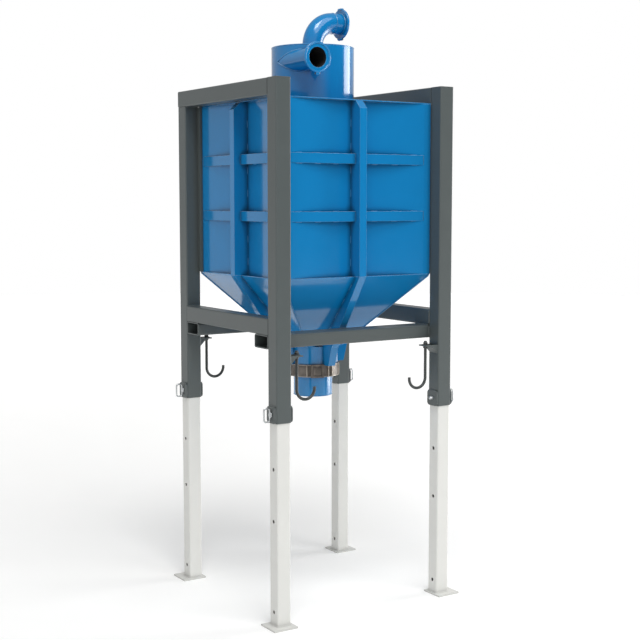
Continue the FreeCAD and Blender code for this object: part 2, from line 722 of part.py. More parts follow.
def make_cyclone_shell():
    radius = SIZE["cyclone_radius"]
    high = SIZE["cyclone_height"] - SIZE["lid_thickness"]
    outside = rod("shell_outside", radius, high, (0, 0, roof_top))
    inside = rod("shell_inside", radius - plate, high, (0, 0, roof_top))
    opening = inlet_rod("shell_opening", bore, 0, SIZE["inlet_reach"])
    keep(cut("cyclone_shell", cut("shell_tube", outside, inside), opening), "cyclone_shell")


def make_cyclone_lid():
    low = cyclone_top - SIZE["lid_thickness"]
    disc = rod("lid_disc", SIZE["cyclone_radius"], SIZE["lid_thickness"], (0, 0, low))
    hole = rod("lid_hole", pipe, SIZE["lid_thickness"], (0, 0, low))
    keep(cut("cyclone_lid", disc, hole), "cyclone_lid")


def make_inlet_pipe():
    reach, thick = SIZE["inlet_reach"], SIZE["flange_thickness"]
    outside = fuse("inlet_outside", [inlet_rod("inlet_tube", pipe, 0, reach),
                                     inlet_rod("inlet_flange", SIZE["flange_radius"], reach - thick, reach)])
    hollow = fuse("inlet_hollow", [inlet_rod("inlet_bore", bore, 0, reach),
                                   rod("inlet_trim", SIZE["cyclone_radius"], cyclone_top)])
    keep(cut("inlet_pipe", outside, hollow), "inlet_pipe")


def make_outlet_pipe():
    """Vortex finder, riser, elbow and flange in one welded piece."""
    body = new_body("outlet_pipe")
    low, level = cyclone_top - SIZE["finder_depth"], cyclone_top + SIZE["outlet_rise"]
    bend, reach = SIZE["elbow_radius"], SIZE["outlet_reach"]
    path = new_sketch(body, "outlet_path", "XZ_Plane")
    path.addGeometry(Part.LineSegment(FreeCAD.Vector(0, low.value, 0),
                                      FreeCAD.Vector(0, (level - bend).value, 0)), False)
    quarter = Part.Circle(FreeCAD.Vector(bend.value, (level - bend).value, 0),
                          FreeCAD.Vector(0, 0, 1), bend.value)
    path.addGeometry(Part.ArcOfCircle(quarter, math.pi / 2, math.pi), False)
    path.addGeometry(Part.LineSegment(FreeCAD.Vector(bend.value, level.value, 0),
                                      FreeCAD.Vector(reach.value, level.value, 0)), False)
    path.addConstraint(Sketcher.Constraint("Coincident", 0, 2, 1, 2))
    path.addConstraint(Sketcher.Constraint("Coincident", 1, 1, 2, 1))
    hold(path, "DistanceX", 0, 1, length(0))
    hold(path, "DistanceY", 0, 1, low)
    hold(path, "DistanceX", 0, 2, length(0))
    hold(path, "DistanceY", 0, 2, level - bend)
    hold(path, "DistanceX", 1, 3, bend)
    hold(path, "DistanceY", 1, 3, level - bend)
    hold(path, "DistanceX", 2, 1, bend)
    hold(path, "DistanceX", 2, 2, reach)
    hold(path, "DistanceY", 2, 2, level)
    section = new_sketch(body, "outlet_section", "XY_Plane", low)
    circle(section, 0, 0, pipe)
    circle(section, 0, 0, bore)
    sweep = body.newObject("PartDesign::AdditivePipe", "outlet_sweep")
    sweep.Profile = section
    sweep.Spine = (path, ["Edge1", "Edge2", "Edge3"])
    rim = new_sketch(body, "outlet_rim", "YZ_Plane", reach - SIZE["flange_thickness"])
    circle(rim, 0, level, SIZE["flange_radius"])
    circle(rim, 0, level, bore)
    pad(body, rim, SIZE["flange_thickness"])


# ---- Build every sub-part ------------------------------------------------------------------------

for corner in CORNERS:
    make_post(*corner)
    make_leg(*corner)
    make_pin(*corner)
    make_hook(*corner)
group("foot_plates", [make_foot(*corner) for corner in CORNERS])
group("hook_brackets", [make_hook_bracket(*corner) for corner in CORNERS])

doublers = []
for name, side_x, side_y in CORNERS:
    for face in (-1, 1):
        word = "outer" if face == side_x else "inner"
        doublers.append(make_doubler(f"{name}_{word}", side_x, side_y, face))
group("pin_doublers", doublers)

for name, side in SIDES:
    make_top_beam(name, side)
    make_lower_beam(name, side)
for name, side in (("front", -1), ("rear", 1)):
    make_fork_pocket(name, side)

for face in FACES:
    make_hopper_wall(*face)
    make_wall_ribs(*face)
group("pyramid_ribs", [make_pyramid_rib(*face) for face in FACES])
group("mounting_bars", [make_mounting_bar(*corner) for corner in CORNERS])
make_roof()
make_pyramid()

make_collar()
ring("spout_tube", SIZE["spout_radius"] - plate, SIZE["spout_radius"],
     collar_bottom - SIZE["spout_length"], collar_bottom)
ring("clamp_band", SIZE["collar_radius"], SIZE["collar_radius"] + SIZE["clamp_thickness"],
     clamp_bottom, clamp_top)
make_buckle()

make_cyclone_shell()
make_cyclone_lid()
make_inlet_pipe()
make_outlet_pipe()


# ---- Check and write -----------------------------------------------------------------------------

doc.recompute()
faults = [item.Name for item in doc.Objects if {"Invalid", "Error"} & set(item.State)]
for part in parts:
    if part.Shape.isNull() or not part.Shape.isValid() or not part.Shape.Solids:
        faults.append(part.Label)
if faults:
    raise RuntimeError("these did not build: " + ", ".join(faults))

os.makedirs("parts", exist_ok=True)
for part in parts:
    part.Shape.exportStep(os.path.join("parts", part.Label + ".step"))
print(len(parts), "sub-parts written")
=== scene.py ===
import math

import bpy
import numpy as np
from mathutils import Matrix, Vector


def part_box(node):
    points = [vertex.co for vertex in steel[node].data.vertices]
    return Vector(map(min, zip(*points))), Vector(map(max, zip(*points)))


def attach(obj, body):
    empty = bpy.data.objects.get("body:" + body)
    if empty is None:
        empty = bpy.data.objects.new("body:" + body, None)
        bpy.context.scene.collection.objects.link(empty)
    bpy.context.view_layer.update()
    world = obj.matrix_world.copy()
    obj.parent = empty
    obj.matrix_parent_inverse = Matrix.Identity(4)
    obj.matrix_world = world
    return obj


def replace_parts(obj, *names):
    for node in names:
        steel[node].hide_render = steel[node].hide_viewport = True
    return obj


# Looks of a cyclone separator on a ribbed buffer hopper in a four-post bag filling stand.
# Metres, +Z up, front -Y, left -X. The file follows the machine from the ground up.

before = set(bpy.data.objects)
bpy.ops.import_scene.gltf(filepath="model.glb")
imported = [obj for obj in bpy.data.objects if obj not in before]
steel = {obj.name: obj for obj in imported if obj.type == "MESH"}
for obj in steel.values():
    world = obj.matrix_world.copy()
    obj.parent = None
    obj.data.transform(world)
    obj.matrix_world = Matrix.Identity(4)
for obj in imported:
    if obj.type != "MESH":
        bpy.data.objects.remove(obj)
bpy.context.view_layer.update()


# ---- Camera -----------------------------------------------------------------------------------
# A three-quarter view from the front left, at the height of a raised platform, through a long lens.

camera = bpy.data.objects.new("camera", bpy.data.cameras.new("camera"))
camera.data.lens = 69.52
camera.data.sensor_width = 36
camera.location = (-4.243, -6.692, 2.509)
camera.rotation_euler = (math.radians(84.49), 0, math.radians(-32.71))
bpy.context.scene.collection.objects.link(camera)
bpy.context.scene.camera = camera


# ---- Studio -----------------------------------------------------------------------------------
# A matt white studio floor under a pale surround, lit by a wide bank high in front, a tall soft box
# on the right and a small one overhead.


def linear(shade):
    """An sRGB hex colour such as "#2a6fb0" as linear red, green, blue and alpha."""
    parts = [int(shade[start:start + 2], 16) / 255 for start in (1, 3, 5)]
    return [part / 12.92 if part <= 0.04045 else ((part + 0.055) / 1.055) ** 2.4
            for part in parts] + [1]


def add(tree, kind, inputs=None, **settings):
    """Add one node: settings are its own properties, inputs are values or sockets by input name."""
    made = tree.nodes.new(kind)
    for name, value in settings.items():
        setattr(made, name, value)
    for name, value in (inputs or {}).items():
        if isinstance(value, bpy.types.NodeSocket):
            tree.links.new(value, made.inputs[name])
        else:
            made.inputs[name].default_value = value
    return made


def new_mesh(name, points, faces, material, smooth=True):
    """A mesh object at the origin from an (n, 3) array of points and a list of faces."""
    data = bpy.data.meshes.new(name)
    data.from_pydata(points.tolist(), [], faces)
    data.polygons.foreach_set("use_smooth", np.full(len(data.polygons), smooth))
    data.materials.append(material)
    data.update()
    made = bpy.data.objects.new(name, data)
    bpy.context.scene.collection.objects.link(made)
    return made


def floor_paint():
    """Matt floor paint: rolled on, so it is even with a faint cloudiness about 0.4 m across."""
    made = bpy.data.materials.new("matt_floor_paint")
    made.use_nodes = True
    tree = made.node_tree
    shader = tree.nodes["Principled BSDF"]
    shader.inputs["Roughness"].default_value = 0.85
    shader.inputs["Specular IOR Level"].default_value = 0.2
    place = add(tree, "ShaderNodeTexCoord").outputs["Object"]
    cloud = add(tree, "ShaderNodeTexNoise", {"Vector": place, "Scale": 1 / 0.4, "Detail": 2})
    tone = add(tree, "ShaderNodeMix", {"Factor": cloud.outputs["Fac"], 6: linear("#f4f4f3"),
                                       7: linear("#fafaf9")}, data_type="RGBA")
    tree.links.new(tone.outputs[2], shader.inputs["Base Color"])
    # lit from below as a light table is, more towards its rim, so that it runs into the white walls
    away = add(tree, "ShaderNodeVectorMath", {0: place}, operation="LENGTH")
    table = add(tree, "ShaderNodeMapRange", {"Value": away.outputs["Value"], "From Min": 2.5,
                                             "From Max": 16.0, "To Min": 0.12, "To Max": 0.45})
    shader.inputs["Emission Color"].default_value = linear("#ffffff")
    tree.links.new(table.outputs["Result"], shader.inputs["Emission Strength"])
    return made


FLOOR_REACH, FLOOR_SIDES = 26.0, 64
floor_turn = np.linspace(0, 2 * math.pi, FLOOR_SIDES + 1)[:-1]
floor_rim = FLOOR_REACH * np.stack([np.cos(floor_turn), np.sin(floor_turn), 0 * floor_turn], 1)
floor_fan = [[0, side + 1, (side + 1) % FLOOR_SIDES + 1] for side in range(FLOOR_SIDES)]
floor = new_mesh("studio_floor", np.vstack([[[0, 0, 0]], floor_rim]), floor_fan, floor_paint(),
                 smooth=False)

# The surround glows evenly except for a dark gap at the front right, between the bank and the side
# box, so that the front faces keep a full colour; it is dimmer overhead.
GLOW, GAP_GLOW = 0.64, 0.08
OVERHEAD = 0.6                            # share of the glow that is left overhead
FRONT_RIGHT = (0.69, -0.72, 0.0)
surround = bpy.data.worlds.new("pale_surround")
surround.use_nodes = True
sky = surround.node_tree
sky.nodes["Background"].inputs["Color"].default_value = linear("#ffffff")
bearing = add(sky, "ShaderNodeTexCoord").outputs["Generated"]
gap = add(sky, "ShaderNodeVectorMath", {0: bearing, 1: FRONT_RIGHT}, operation="DOT_PRODUCT")
low_glow = add(sky, "ShaderNodeMapRange",
               {"Value": gap.outputs["Value"], "From Min": 0.60, "From Max": 0.92,
                "To Min": GLOW, "To Max": GAP_GLOW}, interpolation_type="SMOOTHSTEP")
high_glow = add(sky, "ShaderNodeMath", {0: low_glow.outputs["Result"], 1: OVERHEAD},
                operation="MULTIPLY")
rise = add(sky, "ShaderNodeSeparateXYZ", {"Vector": bearing})
lift = add(sky, "ShaderNodeMapRange",
           {"Value": rise.outputs["Z"], "From Min": 0.25, "From Max": 0.6},
           interpolation_type="SMOOTHSTEP")
glow = add(sky, "ShaderNodeMix", {"Factor": lift.outputs["Result"], "A": low_glow.outputs["Result"],
                                  "B": high_glow.outputs["Value"]})
# the room's walls look white wherever the camera is; only their glow on the steel falls off
seen = add(sky, "ShaderNodeLightPath").outputs["Is Camera Ray"]
shown = add(sky, "ShaderNodeMix", {"Factor": seen, "A": glow.outputs["Result"], "B": 1.0})
sky.links.new(shown.outputs["Result"], sky.nodes["Background"].inputs["Strength"])
bpy.context.scene.world = surround
bpy.context.scene.view_settings.view_transform = "Standard"


def soft_box(name, place, aim, size, watts):
    """A rectangular lamp at a place that faces the aim point."""
    lamp = bpy.data.lights.new(name, "AREA")
    lamp.shape = "RECTANGLE"
    lamp.size, lamp.size_y = size
    lamp.energy = watts
    made = bpy.data.objects.new(name, lamp)
    made.location = place
    towards = np.array(aim) - np.array(place)
    made.rotation_euler = (math.acos(-towards[2] / np.linalg.norm(towards)), 0,
                           math.atan2(towards[1], towards[0]) - math.pi / 2)
    bpy.context.scene.collection.objects.link(made)
    return made


soft_box("side_box", (8.8, -1.8, 2.4), (0, 0, 2.4), (4.6, 5.2), 500)
soft_box("top_box", (-1.6, -2.6, 8.0), (0, 0, 3.2), (2.2, 2.2), 130)

# The key is a wide bank high in front, as soft as an overcast sky and even over the whole floor.
bank = bpy.data.lights.new("front_bank", "SUN")
bank.energy = 1.4
bank.angle = math.radians(50)
front_bank = bpy.data.objects.new("front_bank", bank)
front_bank.rotation_euler = (math.radians(41), 0, 0)
bpy.context.scene.collection.objects.link(front_bank)


# ---- Legs and feet ----------------------------------------------------------------------------
# Four square tubes that slide in the posts, each welded to a flat plate: light grey powder coat on
# mild steel. A row of holes takes the locking pin at the height wanted.

LEFT, RIGHT = -1, 1
CORNERS = {"front_left": LEFT, "front_right": RIGHT, "rear_left": LEFT, "rear_right": RIGHT}


def powder_coat(name, colour, roughness, coat=0.0, edge_light_colour="#ffffff", edge_light_share=0.12,
                corner_shade=0.7):
    """Polyester powder baked on sheet steel. Its colour is even and drifts by 6% over a hand's
    width, and its roughness by 15%. Its orange peel has crests about 1 mm apart, drawn at 3 mm to
    show. Edges of about 2.5 mm radius get a painted line of the edge colour for the light that an
    eased edge catches: a painted highlight where that colour is paler than the coat, a painted
    shade line where it is darker, strongest on edges that face up to the light from above. Within
    45 mm of an inside corner the colour is darkened as painted shade, at most by the corner factor."""
    made = bpy.data.materials.new(name)
    made.use_nodes = True
    tree = made.node_tree
    shader = tree.nodes["Principled BSDF"]
    shader.inputs["IOR"].default_value = 1.5
    shader.inputs["Coat Weight"].default_value = coat
    shader.inputs["Coat Roughness"].default_value = 0.03
    place = add(tree, "ShaderNodeTexCoord").outputs["Object"]
    drift = add(tree, "ShaderNodeTexNoise", {"Vector": place, "Scale": 1 / 0.12, "Detail": 3})
    peel = add(tree, "ShaderNodeTexNoise", {"Vector": place, "Scale": 1 / 0.003, "Detail": 1})
    eased = add(tree, "ShaderNodeBevel", {"Radius": 0.0025}, samples=4)
    flat = add(tree, "ShaderNodeNewGeometry").outputs["True Normal"]
    facing = add(tree, "ShaderNodeVectorMath", {0: eased.outputs["Normal"], 1: flat},
                 operation="DOT_PRODUCT")
    # painted edge light: where the eased normal turns from the true one, a line of the edge colour
    drawn = add(tree, "ShaderNodeMapRange", {"Value": facing.outputs["Value"], "From Min": 0.98,
                                             "From Max": 0.86, "To Min": 0.0, "To Max": edge_light_share})
    deep = [channel * 0.94 for channel in linear(colour)[:3]] + [1]
    tone = add(tree, "ShaderNodeMix", {"Factor": drift.outputs["Fac"], 6: deep, 7: linear(colour)},
               data_type="RGBA")
    # painted light from above: the edge line is stronger where the eased normal faces up
    upward = add(tree, "ShaderNodeSeparateXYZ", {"Vector": eased.outputs["Normal"]})
    upward_light = add(tree, "ShaderNodeMapRange", {"Value": upward.outputs["Z"], "From Min": 0.05,
                                             "From Max": 0.45, "To Min": 0.5, "To Max": 1.6})
    line = add(tree, "ShaderNodeMath", {0: drawn.outputs["Result"], 1: upward_light.outputs["Result"]},
               operation="MULTIPLY")
    edge_lit = add(tree, "ShaderNodeMix", {"Factor": line.outputs["Value"], 6: tone.outputs[2],
                                        7: linear(edge_light_colour)}, data_type="RGBA")
    # painted shade: within 45 mm of an inside corner the colour darkens, down to the corner factor
    open_air = add(tree, "ShaderNodeAmbientOcclusion", {"Distance": 0.045}, samples=8)
    thick = add(tree, "ShaderNodeMapRange",
                {"Value": open_air.outputs["AO"], "From Min": 0.35, "From Max": 0.85,
                 "To Min": corner_shade, "To Max": 1.0})
    corner_shaded = add(tree, "ShaderNodeVectorMath", {0: edge_lit.outputs[2], 1: thick.outputs["Result"]},
                 operation="MULTIPLY")
    gloss = add(tree, "ShaderNodeMapRange",
                {"Value": drift.outputs["Fac"], "To Min": roughness * 0.85,
                 "To Max": roughness * 1.15})
    skin = add(tree, "ShaderNodeBump", {"Height": peel.outputs["Fac"], "Strength": 0.06,
                                        "Distance": 0.0004, "Normal": eased.outputs["Normal"]})
    tree.links.new(corner_shaded.outputs["Vector"], shader.inputs["Base Color"])
    tree.links.new(gloss.outputs["Result"], shader.inputs["Roughness"])
    tree.links.new(skin.outputs["Normal"], shader.inputs["Normal"])
    return made


def finish(material, *names):
    """Give CAD nodes their material."""
    for name in names:
        steel[name].data.materials.clear()
        steel[name].data.materials.append(material)


def unit(vectors):
    """Vectors divided by their length."""
    return vectors / np.linalg.norm(vectors, axis=-1, keepdims=True)


def carried(spine, across, profile, scale=None, closed=False):
    """A profile carried along a path: point(i, j) = spine(i) + scale(i) * (profile_x(j) * square(i)
    + profile_y(j) * rise(i)), where rise is the path's direction crossed with across, and square is
    rise crossed with that direction. A closed path joins its last ring to its first; an open one
    has a fan to the path's own end at each end."""
    spine, profile = np.asarray(spine, float), np.asarray(profile, float)
    count, sides = len(spine), len(profile)
    step = np.roll(spine, -1, 0) - np.roll(spine, 1, 0) if closed else np.gradient(spine, axis=0)
    along = unit(step)
    rise = unit(np.cross(along, np.broadcast_to(np.asarray(across, float), spine.shape)))
    square = np.cross(rise, along)
    scale = np.ones(count) if scale is None else scale
    offset = profile[None, :, :1] * square[:, None, :] + profile[None, :, 1:] * rise[:, None, :]
    points = (spine[:, None, :] + scale[:, None, None] * offset).reshape(-1, 3)
    ring = np.arange(count if closed else count - 1)[:, None]
    side = np.arange(sides)[None, :]
    after, beside = (ring + 1) % count, (side + 1) % sides
    quads = np.stack([ring * sides + side, ring * sides + beside, after * sides + beside,
                      after * sides + side], -1).reshape(-1, 4)
    if closed:
        return points, quads, np.zeros((0, 3), int)
    start, end = np.full(sides, len(points)), np.full(sides, len(points) + 1)
    here, there = side[0], beside[0]
    last = (count - 1) * sides
    fans = np.vstack([np.stack([start, there, here], 1),
                      np.stack([end, last + here, last + there], 1)])
    return np.vstack([points, spine[:1], spine[-1:]]), quads, fans


def piece(name, shells, material, smooth=True):
    """One mesh object at the origin from a list of shells (points, quads, triangles)."""
    starts = np.cumsum([0] + [len(shell[0]) for shell in shells])
    faces = [face for start, (_, quads, fans) in zip(starts, shells)
             for face in (quads + start).tolist() + (fans + start).tolist()]
    made = new_mesh(name, np.vstack([shell[0] for shell in shells]), faces, material, smooth)
    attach(made, "root")
    return made


def circle(radius, sides):
    """A round profile: radius * (cos a, sin a)."""
    turn = np.linspace(0, 2 * math.pi, sides + 1)[:-1]
    return radius * np.stack([np.cos(turn), np.sin(turn)], 1)


def cushioned(half_wide, half_high, corner):
    """A rectangular profile with round corners, each a quarter circle about its own centre."""
    turn = np.linspace(0, math.pi / 2, 5)[None, :] + np.arange(4)[:, None] * math.pi / 2
    hub = np.array([[1, 1], [-1, 1], [-1, -1], [1, -1]]) * [half_wide - corner, half_high - corner]
    return (hub[:, None, :] + corner * np.stack([np.cos(turn), np.sin(turn)], 2)).reshape(-1, 2)


def seam(corners, closed=False):
    """Points 2 mm apart along straight runs between corners."""
    corners = np.asarray(corners, float)
    if closed:
        corners = np.vstack([corners, corners[:1]])
    reach = np.concatenate([[0], np.cumsum(np.linalg.norm(np.diff(corners, axis=0), axis=1))])
    count = max(int(reach[-1] / 0.002), 4)
    spot = np.linspace(0, reach[-1], count + 1)
    spot = spot[:-1] if closed else spot
    return np.stack([np.interp(spot, reach, corners[:, axis]) for axis in range(3)], 1)


def hoop(centre, first, second, radius):
    """Points 2 mm apart round a circle: centre + radius * (cos a * first + sin a * second)."""
    turn = np.linspace(0, 2 * math.pi, int(math.pi * radius / 0.001) + 1)[:-1, None]
    first, second = np.asarray(first), np.asarray(second)
    return np.asarray(centre) + radius * (np.cos(turn) * first + np.sin(turn) * second)


FINE_BEAD, BEAD, FULL_BEAD = 0.0035, 0.0045, 0.005
DROP, SWELL = 0.006, 0.15


def weld(spine, across, radius, closed=False):
    """A weld bead: a round profile carried along the seam. Its scale is 1 + SWELL * |cos(pi * s /
    DROP)|, one swell for each drop of metal (really about 3 mm, drawn at 6 mm to show), and it runs
    out over one and a half radii at both ends of an open seam."""
    spine = np.asarray(spine, float)
    run = np.concatenate([[0], np.cumsum(np.linalg.norm(np.diff(spine, axis=0), axis=1))])
    scale = 1 + SWELL * np.abs(np.cos(math.pi * run / DROP))
    if not closed:
        scale *= np.clip(np.minimum(run, run[-1] - run) / (radius * 1.5) + 0.35, 0, 1)
    return carried(spine, across, circle(radius, 6), scale, closed)


# painted light: a darker line of painted edge shade along the legs' edges, and painted shade in
# inside corners
leg_coat = powder_coat("light_grey_powder_coat", "#dcdcd8", 0.42, edge_light_colour="#8f8f8c", edge_light_share=0.25)
finish(leg_coat, "foot_plates", *[f"leg_{corner}" for corner in CORNERS])

LEG_ROUND = 0.008                         # outside radius of a leg's corners
foot_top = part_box("foot_plates")[1].z
foot_welds = []
for corner in CORNERS:
    low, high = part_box(f"leg_{corner}")
    loop = cushioned((high.x - low.x) / 2, (high.y - low.y) / 2, LEG_ROUND)
    loop += [(low.x + high.x) / 2, (low.y + high.y) / 2]
    loop = np.column_stack([loop, np.full(len(loop), foot_top)])
    foot_welds.append(weld(seam(loop, closed=True), (0, 0, 1), BEAD, closed=True))
piece("foot_welds", foot_welds, leg_coat)


# ---- Posts and doubler plates -----------------------------------------------------------------
# Square tubes of 100 mm with rounded corners, satin grey powder coat on mild steel. Where the pin
# goes through, a thick plate is welded on each side; the weld shows along its upper edge.

# a pale painted highlight along its edges, and painted shade in inside corners
frame_coat = powder_coat("satin_grey_powder_coat", "#4f5656", 0.36, edge_light_colour="#b9bdbc", edge_light_share=0.16)
finish(frame_coat, "pin_doublers", *[f"post_{corner}" for corner in CORNERS])

PLATE_HALF = 0.027                        # straight part of a doubler's upper edge, each way
doubler_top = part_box("pin_doublers")[1].z
frame_welds = []
for corner in CORNERS:
    low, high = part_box(f"post_{corner}")
    mid_y = (low.y + high.y) / 2
    for face_x in (low.x, high.x):
        edge = [(face_x, mid_y + reach, doubler_top) for reach in (-PLATE_HALF, PLATE_HALF)]
        frame_welds.append(weld(seam(edge), (0, 0, 1), BEAD))


# ---- Side beams and fork pockets --------------------------------------------------------------
# Square tubes between the posts, and two open rectangular tubes below them that a fork truck lifts
# the stand by. All fillet welded at the inner corners; the outer faces are butt welded and ground.

# each seam stops short of its tube's rounded corners: a beam's, and a pocket's over and beside it
BEAM_ROUND, POCKET_ROUND, POCKET_SIDE = 0.008, 0.012, 0.010
finish(frame_coat, "top_beam_left", "top_beam_right", "lower_beam_left", "lower_beam_right",
       "fork_pocket_front", "fork_pocket_rear", "mounting_bars")
for hand in ("left", "right"):
    low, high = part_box(f"top_beam_{hand}")
    rear_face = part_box(f"post_rear_{hand}")[0].y
    for seam_y in (low.y, rear_face):
        under = [(x, seam_y, low.z) for x in (low.x + BEAM_ROUND, high.x - BEAM_ROUND)]
        frame_welds.append(weld(seam(under), (0, 1, 0), FULL_BEAD))
    low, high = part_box(f"lower_beam_{hand}")
    inner_x = min(low.x, high.x, key=abs)
    for seam_y in (low.y, high.y):
        over = [(x, seam_y, high.z) for x in (low.x + BEAM_ROUND, high.x - BEAM_ROUND)]
        upright = [(inner_x, seam_y, z) for z in (low.z + BEAM_ROUND, high.z - BEAM_ROUND)]
        frame_welds.append(weld(seam(over), (0, 1, 0), FULL_BEAD))
        frame_welds.append(weld(seam(upright), (0, 1, 0), FULL_BEAD))
    for end in ("front", "rear"):
        base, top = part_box(f"fork_pocket_{end}")
        outer_y = max(base.y, top.y, key=abs)
        over = [(inner_x, y, top.z) for y in (base.y + POCKET_ROUND, top.y - POCKET_ROUND)]
        upright = [(inner_x, outer_y, z) for z in (base.z + POCKET_SIDE, top.z - POCKET_SIDE)]
        frame_welds.append(weld(seam(over), (0, 0, 1), FULL_BEAD))
        frame_welds.append(weld(seam(upright), (0, 1, 0), FULL_BEAD))


# ---- Bag hooks --------------------------------------------------------------------------------
# Each bent bracket has two cheeks welded to its post. The hook is an 18 mm round bar bent cold to a
# J; its shank goes up through the bracket, with a nut on a washer above and a lock nut below.

finish(frame_coat, "hook_brackets")
# a pale painted highlight along the hooks' edges, and painted shade in inside corners
hook_coat = powder_coat("dark_grey_powder_coat", "#363a39", 0.34, edge_light_colour="#c9cbca", edge_light_share=0.30)
finish(hook_coat, *[f"hook_{corner}" for corner in CORNERS])

BRACKET_HALF, BRACKET_THICK = 0.040, 0.008
HOOK_REACH = 0.066                        # shank from the post's inner face
NUT_CORNER, WASHER_RADIUS, WASHER_HALF = 0.0155, 0.0155, 0.0015
bracket_low, bracket_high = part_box("hook_brackets")[0].z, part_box("hook_brackets")[1].z
nut_depths = np.array([0.0005, 0.002, 0.010, 0.0125])
fasteners = []
for corner, side_x in CORNERS.items():
    low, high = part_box(f"post_{corner}")
    face_x = high.x if side_x == LEFT else low.x
    mid_y = (low.y + high.y) / 2
    for edge_y in (mid_y - BRACKET_HALF, mid_y + BRACKET_HALF):
        upright = [(face_x, edge_y, bracket_low + 0.004), (face_x, edge_y, bracket_high - 0.002)]
        frame_welds.append(weld(seam(upright), (0, 1, 0), FINE_BEAD))
    shank_x = face_x - side_x * HOOK_REACH
    washer = hoop((shank_x, mid_y, bracket_high + WASHER_HALF), (1, 0, 0), (0, 1, 0), WASHER_RADIUS)
    fasteners.append(carried(washer[::3], (0, 0, 1), cushioned(WASHER_HALF, 0.0045, 0.0007),
                             closed=True))
    lock_nut = np.column_stack([np.full(4, shank_x), np.full(4, mid_y),
                                bracket_high - BRACKET_THICK - nut_depths])
    fasteners.append(carried(lock_nut, (1, 0, 0), circle(NUT_CORNER, 6),
                             np.array([0.93, 1, 1, 0.93])))
piece("frame_welds", frame_welds, frame_coat)
piece("hook_washers_and_lock_nuts", fasteners, hook_coat)


# ---- Locking pins -----------------------------------------------------------------------------
# A 20 mm shaft with a head and a bow of 10 mm rod, turned and bent from mild steel and zinc plated.


def zinc_plate(name, colour, roughness):
    """Bright zinc plate: a bare metal, slightly blue. Its tone is duller round the edges of cells
    8 mm across, and a haze of 30 mm drifts its roughness by 30% and softly ripples its skin."""
    made = bpy.data.materials.new(name)
    made.use_nodes = True
    tree = made.node_tree
    shader = tree.nodes["Principled BSDF"]
    shader.inputs["Metallic"].default_value = 1.0
    place = add(tree, "ShaderNodeTexCoord").outputs["Object"]
    cell = add(tree, "ShaderNodeTexVoronoi", {"Vector": place, "Scale": 1 / 0.008})
    haze = add(tree, "ShaderNodeTexNoise", {"Vector": place, "Scale": 1 / 0.03, "Detail": 4})
    dull = [channel * 0.82 for channel in linear(colour)[:3]] + [1]
    tone = add(tree, "ShaderNodeMix", {"Factor": cell.outputs["Distance"], 6: linear(colour),
                                       7: dull}, data_type="RGBA")
    gloss = add(tree, "ShaderNodeMapRange", {"Value": haze.outputs["Fac"],
                                             "To Min": roughness * 0.7, "To Max": roughness * 1.3})
    skin = add(tree, "ShaderNodeBump", {"Height": haze.outputs["Fac"], "Strength": 0.15,
                                        "Distance": 0.0006})
    tree.links.new(tone.outputs[2], shader.inputs["Base Color"])
    tree.links.new(gloss.outputs["Result"], shader.inputs["Roughness"])
    tree.links.new(skin.outputs["Normal"], shader.inputs["Normal"])
    return made


bright_zinc = zinc_plate("bright_zinc_plate", "#cfd2d4", 0.28)
BOW_REACH, BOW_HALF, BOW_ROD, BOW_CORNER = 0.040, 0.040, 0.005, 0.013
SHAFT, HEAD, HEAD_THICK = 0.010, 0.017, 0.008
for corner, side_x in CORNERS.items():
    finish(bright_zinc, f"locking_pin_{corner}")
    low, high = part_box(f"locking_pin_{corner}")
    mid_y, mid_z = (low.y + high.y) / 2, (low.z + high.z) / 2
    outer, tail = (low.x, high.x) if side_x == LEFT else (high.x, low.x)
    head_x = outer - side_x * (BOW_ROD + BOW_REACH)
    bow = cushioned(BOW_REACH / 2, BOW_HALF, BOW_CORNER) + [head_x + side_x * BOW_REACH / 2, mid_z]
    bow = np.column_stack([bow[:, 0], np.full(len(bow), mid_y), bow[:, 1]])
    shaft_x = tail + side_x * np.array([0, 0.003, 0.050, 0.130])
    knob_x = head_x - side_x * np.array([HEAD_THICK, HEAD_THICK - 0.001, 0.001, 0])
    rods = [carried(seam(bow, closed=True)[::2], (0, 1, 0), circle(BOW_ROD, 12), closed=True)]
    for rod_x, radius, ends in ((shaft_x, SHAFT, (0.75, 1, 1, 1)),
                                (knob_x, HEAD, (0.93, 1, 1, 0.93))):
        spine = np.column_stack([rod_x, np.full(4, mid_y), np.full(4, mid_z)])
        rods.append(carried(spine, (0, 1, 0), circle(radius, 28), np.array(ends)))
    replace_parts(piece(f"bow_pin_{corner}", rods, bright_zinc), f"locking_pin_{corner}")


# ---- Hopper walls and ribs --------------------------------------------------------------------
# Four 4 mm sheets folded in at the middle, each stiffened by an upright rib and two cross ribs that
# fill the fold. Gloss blue powder coat. The ribs are stitch welded: 45 mm of bead in every 140 mm.

BLUE = "#0b7bb8"
# a pale painted highlight along edges, and a deep painted shade in inside corners
blue_coat = powder_coat("gloss_blue_powder_coat", BLUE, 0.14, coat=0.35, edge_light_colour="#c4e2f7",
                        edge_light_share=0.5, corner_shade=0.35)
# each face: its turn in degrees, half its width, and its distance from the axis
FACES = (("front", 0, 0.540, 0.520), ("right", 90, 0.516, 0.540),
         ("rear", 180, 0.540, 0.520), ("left", 270, 0.516, 0.540))
WALL_FOLD, WALL_MARGIN, RIB_HALF, BAND_HIGH = 0.054, 0.050, 0.025, 0.060
STITCH, STITCH_STEP = 0.045, 0.140
wall_low, wall_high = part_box("hopper_wall_front")[0].z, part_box("hopper_wall_front")[1].z
band_levels = (wall_low + 0.333, wall_low + 0.678)   # undersides of the cross ribs


def turned(points, degrees):
    """Points drawn for the front face, turned about the machine's axis to another face."""
    cos, sin = math.cos(math.radians(degrees)), math.sin(math.radians(degrees))
    return np.asarray(points, float) @ np.array([[cos, sin, 0], [-sin, cos, 0], [0, 0, 1]])


def wall_depth(x, bend):
    """How far the folded wall stands back at x: WALL_FOLD * (1 - |x| / bend)."""
    return WALL_FOLD * (1 - abs(x) / bend)


